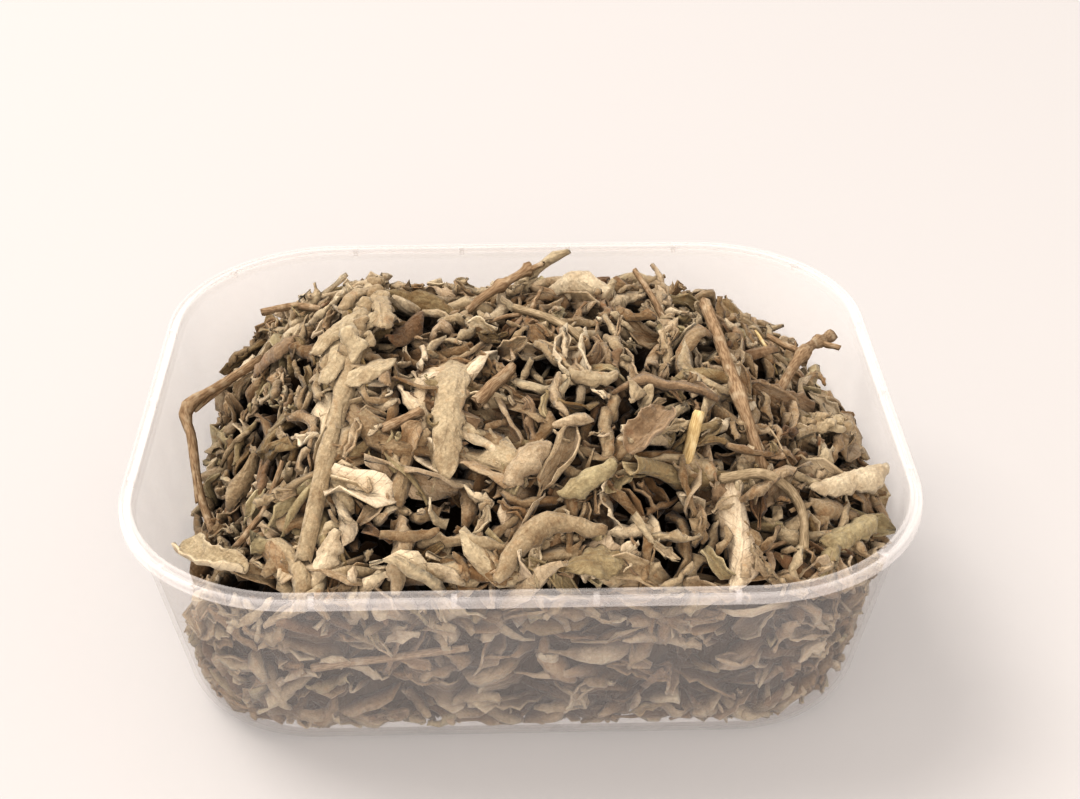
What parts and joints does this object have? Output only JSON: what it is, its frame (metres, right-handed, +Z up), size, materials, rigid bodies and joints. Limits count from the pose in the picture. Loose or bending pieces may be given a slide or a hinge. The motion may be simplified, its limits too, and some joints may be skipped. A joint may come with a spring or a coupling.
{
  "type": "tub of dried sage",
  "caption": "Shallow see-through plastic food tub with round corners, heaped with loose dried sage: curled grey-green leaves, leafy sprigs and broken stems.",
  "frame": {"origin": "middle of the tub's flat underside, on the surface that it stands on", "axes": "+Z up; +X along the rim's longer side, to the right in the picture; -Y towards the side that the picture shows"},
  "size_m": [0.175, 0.155, 0.086],
  "materials": {
    "tub_plastic": "frosted, see-through",
    "sage_leaf_grey": "dry, woolly, finely pebbled",
    "sage_leaf_pale": "dry, woolly, pale underside",
    "sage_leaf_green": "dry, olive, netted with veins",
    "sage_leaf_brown": "dry, brown, wrinkled",
    "stem_grey": "dry, downy",
    "stem_brown": "dry, bare bark",
    "stem_pale": "dry, straw coloured"
  },
  "bodies": {
    "root": {"tub": "tub_plastic", "leaf_heap": "sage_leaf_grey", "leafy_sprig_left": "sage_leaf_grey", "bent_stem_left": "stem_brown", "back_twig": "stem_brown", "knobby_twig_top": "stem_brown", "grey_stem_top": "stem_grey", "thin_stick_back": "stem_brown", "long_brown_stem": "stem_brown", "forked_twig_right": "stem_brown", "leafy_sprig_right": "sage_leaf_grey", "arched_stem_right": "stem_grey", "yellow_stem": "stem_pale", "brown_stem_middle": "stem_brown", "brown_stem_left": "stem_brown", "short_stem_right": "stem_grey", "wall_stem": "stem_brown", "round_leaf_top": "sage_leaf_pale", "tall_leaf": "sage_leaf_grey", "pale_leaf_right": "sage_leaf_pale", "green_leaf_right": "sage_leaf_green", "violet_leaf": "sage_leaf_brown", "white_leaf": "sage_leaf_pale", "rolled_leaf": "sage_leaf_green", "front_leaf": "sage_leaf_grey", "veined_leaf": "sage_leaf_green", "boat_leaf": "sage_leaf_grey", "thick_leaf": "sage_leaf_pale", "dark_leaf": "sage_leaf_brown"}
  },
  "joints": []
}
